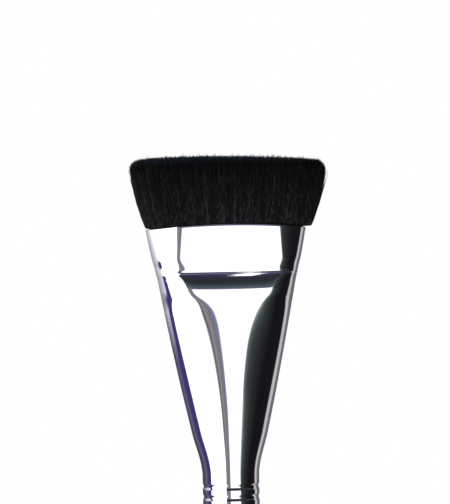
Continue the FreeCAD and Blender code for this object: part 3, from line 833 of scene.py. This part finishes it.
# Stations on the shoulder leave out the half width and half depth, which are worked out from the
# shoulder's outline seen from the front and from its rise over the crease.
SHOULDER_DROP = 10.75
SHOULDER_RISE = 1.15
SHOULDER_OUTLINE = ((8.0, 11.23), (8.6, 11.09), (9.4, 10.93), (10.2, 10.78), (10.75, 10.68))
SHOULDER = (
    (8.0, 8.15, 3.5, 0.15),
    (8.4, 7.75, 3.5, 0.15),
    (8.65, 7.50, 3.5, 0.15),
    (9.0, 7.20, 3.5, 0.15),
    (9.4, 6.92, 3.5, 0.15),
    (9.9, 6.70, 3.5, 0.15),
    (10.3, 6.55, 3.5, 0.15),
    (SHOULDER_DROP, 6.36, 3.7, 0.15),
)
SHOULDER_TO_NECK = (
    (11.4, 10.56, 5.68, 5.92, 4.3, 0.1),
    (12.1, 10.43, 5.71, 5.20, 5.3, 0.0),
    (13.0, 10.25, 5.73, 4.50, 7.2, 0.0),
    (14.5, 9.97, 5.76, 3.75, 12.0, 0.0),
    (16.9, 9.50, 5.76, 2.95, 18.0, 0.0),
    (20.5, 8.78, 5.71, 2.25, 25.0, 0.0),
    (26.1, 7.62, 5.52, 1.62, 30.0, 0.0),
    (33.0, 6.08, 5.02, 1.20, 35.0, 0.0),
    (40.0, 4.50, 4.50, 0.936, 40.0, 0.0),
    (45.0, 4.50, 4.50, 0.936, 40.0, 0.0),
)
# How far the front face stands to one side at drops below the lip, in millimetres.
SKEW = ((0.0, 0.14), (8.6, 0.14), (9.3, 0.03), (10.6, 0.03), (12.5, 0.20), (15.5, 0.02),
        (19.0, -0.15), (24.0, -0.12), (30.0, 0.0), (45.0, 0.0))
# The sides narrow by SIDE_SLOPE of a drop. The face's edge is where its normal has turned by
# FACE_ANGLE degrees, and the fold is FOLD_SPREAD wide. Lengths are in millimetres.
MOUTH_HALF_WIDTH = 12.98
SIDE_SLOPE = 0.2066
FACE_ANGLE = 12.0
FOLD_SPREAD = 6.0
WALL = 0.35
CRIMP_DROPS = (41.6, 43.3)
CRIMP_DEPTH = 0.15
CRIMP_HALF_WIDTH = 0.45
PANEL_ARCH_REACH = 6.0
RIM_ROUNDING_ROWS = 5
# Rows of the mesh: from each drop down, their spacing. It is close where the shape turns.
ROW_SPACING = ((WALL / 2, 0.3), (6.9, 0.06), (10.9, 0.2), (16.0, 0.5),
               (CRIMP_DROPS[0] - 0.8, 0.07))
INNER_ROW_STRIDE = 6
# Columns of a quarter: their spacing in angle grows from the middle of the face to the side.
FACE_STEPS = 88
EVEN_SPACING = 0.45
GROWING_SPACING = 0.55
SECTION_STEPS = 1801


def smooth_table(places, values, at):
    """Monotone cubic through a table, so that the curve never swings past its points."""
    steps = np.diff(places)
    slopes = np.diff(values) / steps
    tangents = np.concatenate([slopes[:1], np.zeros(len(slopes) - 1), slopes[-1:]])
    rising = slopes[:-1] * slopes[1:] > 0
    before, after = 2 * steps[1:] + steps[:-1], steps[1:] + 2 * steps[:-1]
    inner = np.nonzero(rising)[0]
    tangents[inner + 1] = (before + after)[inner] / (before[inner] / slopes[inner]
                                                     + after[inner] / slopes[inner + 1])
    index = np.clip(np.searchsorted(places, at, side="right") - 1, 0, len(steps) - 1)
    share, step = (at - places[index]) / steps[index], steps[index]
    return (values[index] * (1 + 2 * share) * (1 - share) ** 2
            + step * tangents[index] * share * (1 - share) ** 2
            + values[index + 1] * share ** 2 * (3 - 2 * share)
            - step * tangents[index + 1] * share ** 2 * (1 - share))


def shoulder_stations():
    """Stations on the shoulder, whose depth rises from the crease as a parabola, flat at the top.

    Their half sizes are to a hundredth of a millimetre.
    """
    stations = []
    for drop, *face in SHOULDER:
        part = (drop - CREASE_DROP) / (SHOULDER_DROP - CREASE_DROP)
        half_depth = CREASE_HALF_DEPTH + SHOULDER_RISE * (1 - (1 - part) ** 2)
        half_width = float(np.interp(drop, *zip(*SHOULDER_OUTLINE)))
        stations.append((drop, round(half_width, 2), round(half_depth, 2), *face))
    return stations


def running_sum(values, steps):
    """Integral of a sampled curve up to each of its samples."""
    return np.concatenate([[0.0], np.cumsum((values[1:] + values[:-1]) / 2 * steps)])


def quarter_section(half_width, half_depth, face, softness, fold, angles):
    """Quarter of a pressed oval, from the middle of a face to the side.

    Its radius of curvature is a broad face's, fading with the angle turned, plus an ellipse-like
    pair of terms, the first of them tightened by the fold along the edge of the face. Their three
    sizes give the half width, the half depth and the face's half width.
    """
    fine = np.radians(np.linspace(0, 90, SECTION_STEPS))
    steps = np.diff(fine)
    crisp = fold * np.exp(-((np.degrees(fine) - FACE_ANGLE) / FOLD_SPREAD) ** 2)
    terms = [np.exp(-(fine / math.radians(softness)) ** 2), 1 - crisp, np.cos(2 * fine)]
    across = [running_sum(term * np.cos(fine), steps) for term in terms]
    inwards = [running_sum(term * np.sin(fine), steps) for term in terms]
    edge = np.searchsorted(fine, math.radians(FACE_ANGLE))
    system = np.array([[v[-1] for v in across], [v[-1] for v in inwards],
                       [v[edge] for v in across]])
    sizes = np.linalg.solve(system, [half_width, half_depth, face])
    x = sum(part * v for part, v in zip(sizes, across))
    y = half_depth - sum(part * v for part, v in zip(sizes, inwards))
    return np.interp(angles, fine, x), np.interp(angles, fine, y)


def crimp_depth(drop):
    """Depth of the two rolled grooves that grip the handle."""
    depth = np.zeros_like(drop)
    for centre in CRIMP_DROPS:
        depth = np.maximum(depth, CRIMP_DEPTH * (1 - ((drop - centre) / CRIMP_HALF_WIDTH) ** 2))
    return depth


def depth_of(ring_y):
    """Half depth of each ring of points."""
    return np.abs(ring_y).max(1, keepdims=True)


def make_ferrule():
    """Pressed tube with a rounded rim: flat panel, crease, shoulder, funnel and crimped neck."""
    table = np.array([*LIP_TO_CREASE, *shoulder_stations(), *SHOULDER_TO_NECK])
    length = (ferrule_high.z - ferrule_low.z) / MM
    rim = WALL / 2
    stops = [start for start, _ in ROW_SPACING[1:]] + [length]
    drops = np.concatenate([np.arange(start, stop, spacing)
                            for (start, spacing), stop in zip(ROW_SPACING, stops)] + [[length]])
    step = np.arange(FACE_STEPS + 1) / FACE_STEPS
    angles = math.pi / 2 * (EVEN_SPACING * step + GROWING_SPACING * step ** 2)
    columns = [smooth_table(table[:, 0], table[:, i], drops) for i in range(1, 6)]
    quarters = [quarter_section(*sizes, angles) for sizes in zip(*columns)]
    skews = np.array(SKEW)
    skew = smooth_table(skews[:, 0], skews[:, 1], drops)[:, None]
    x, y = (np.array(side) for side in zip(*quarters))
    normal_x, normal_y = np.sin(angles)[None, :], np.cos(angles)[None, :]
    crimp = crimp_depth(drops)[:, None]
    x, y = x - crimp * normal_x, y - crimp * normal_y

    def loop(quarter_x, quarter_y):
        """Whole ring from a quarter, counter-clockwise from the middle of the front face."""
        ahead, back = slice(0, FACE_STEPS), slice(FACE_STEPS, 0, -1)
        xs = np.concatenate([quarter_x[:, ahead], quarter_x[:, back],
                             -quarter_x[:, ahead], -quarter_x[:, back]], 1)
        ys = np.concatenate([-quarter_y[:, ahead], quarter_y[:, back],
                             quarter_y[:, ahead], -quarter_y[:, back]], 1)
        return xs, ys

    outer_x, outer_y = loop(x, y)
    inner_x, inner_y = loop(x - (WALL - crimp) * normal_x, y - (WALL - crimp) * normal_y)
    front = np.maximum(-outer_y / depth_of(outer_y), 0.0) ** 2
    outer_x, inner_x = outer_x + skew * front, inner_x + skew * front
    middle_x, middle_y = loop(x[:1] - rim * normal_x, y[:1] - rim * normal_y)
    rows = []
    for turn in np.linspace(0, math.pi, RIM_ROUNDING_ROWS + 2)[1:-1][::-1]:
        out = math.cos(turn)
        rows.append((middle_x[0] + (outer_x[0] - middle_x[0]) * out,
                     middle_y[0] + (outer_y[0] - middle_y[0]) * out, rim * (1 - math.sin(turn))))
    inner_rows = list(range(len(drops) - 1, 0, -INNER_ROW_STRIDE)) + [0]
    rows = ([(inner_x[i], inner_y[i], drops[i]) for i in inner_rows] + rows
            + [(outer_x[i], outer_y[i], drops[i]) for i in range(len(drops))])
    points = []
    for ring_x, ring_y, drop in rows:
        fall = lip_fall(ring_x * MM) / MM * max(0.0, 1 - drop / PANEL_ARCH_REACH)
        outwards = (np.abs(ring_x) / MOUTH_HALF_WIDTH) ** 3
        narrowed = ring_x * (1 - SIDE_SLOPE * fall / MOUTH_HALF_WIDTH * outwards)
        points.append(np.stack([narrowed, ring_y, LIP / MM - drop - fall], -1) * MM)
    count, around = len(points), 4 * FACE_STEPS
    mesh = bpy.data.meshes.new("ferrule_shell")
    faces = [(r * around + i, (r + 1) * around + i, (r + 1) * around + (i + 1) % around,
              r * around + (i + 1) % around) for r in range(-1, count - 1) for i in range(around)]
    faces = [tuple(v % (count * around) for v in face) for face in faces]
    mesh.from_pydata(np.concatenate(points).tolist(), [], faces)
    mesh.polygons.foreach_set("use_smooth", [True] * len(faces))
    piece = link_object("ferrule_shell", mesh)
    set_material(piece, nickel())
    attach(piece, STATIC_BODY)
    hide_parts("ferrule")


# ---------------------------------------------------------------- build

bpy.context.scene.view_settings.view_transform = "Standard"
make_world()
make_lights()
make_floor()
make_card("far_card", FAR_CARD_RADIUS, FAR_CARD_TONES, FAR_CARD_TOPS, FAR_CARD_FADE)
make_card("near_card", NEAR_CARD_RADIUS, NEAR_CARD_TONES, NEAR_CARD_TOPS, NEAR_CARD_FADE)
make_camera()
make_tuft()
make_ferrule()
set_material(nodes["handle"], lacquered_wood())
set_material(nodes["handle_adhesive"],
             cured_resin("wood_glue", (0.62, 0.50, 0.30), (0.45, 0.33, 0.17)))
set_material(nodes["root_resin"], cured_resin("epoxy", (0.50, 0.36, 0.16), (0.33, 0.21, 0.08)))
set_material(nodes["binding_thread"], cotton_thread())
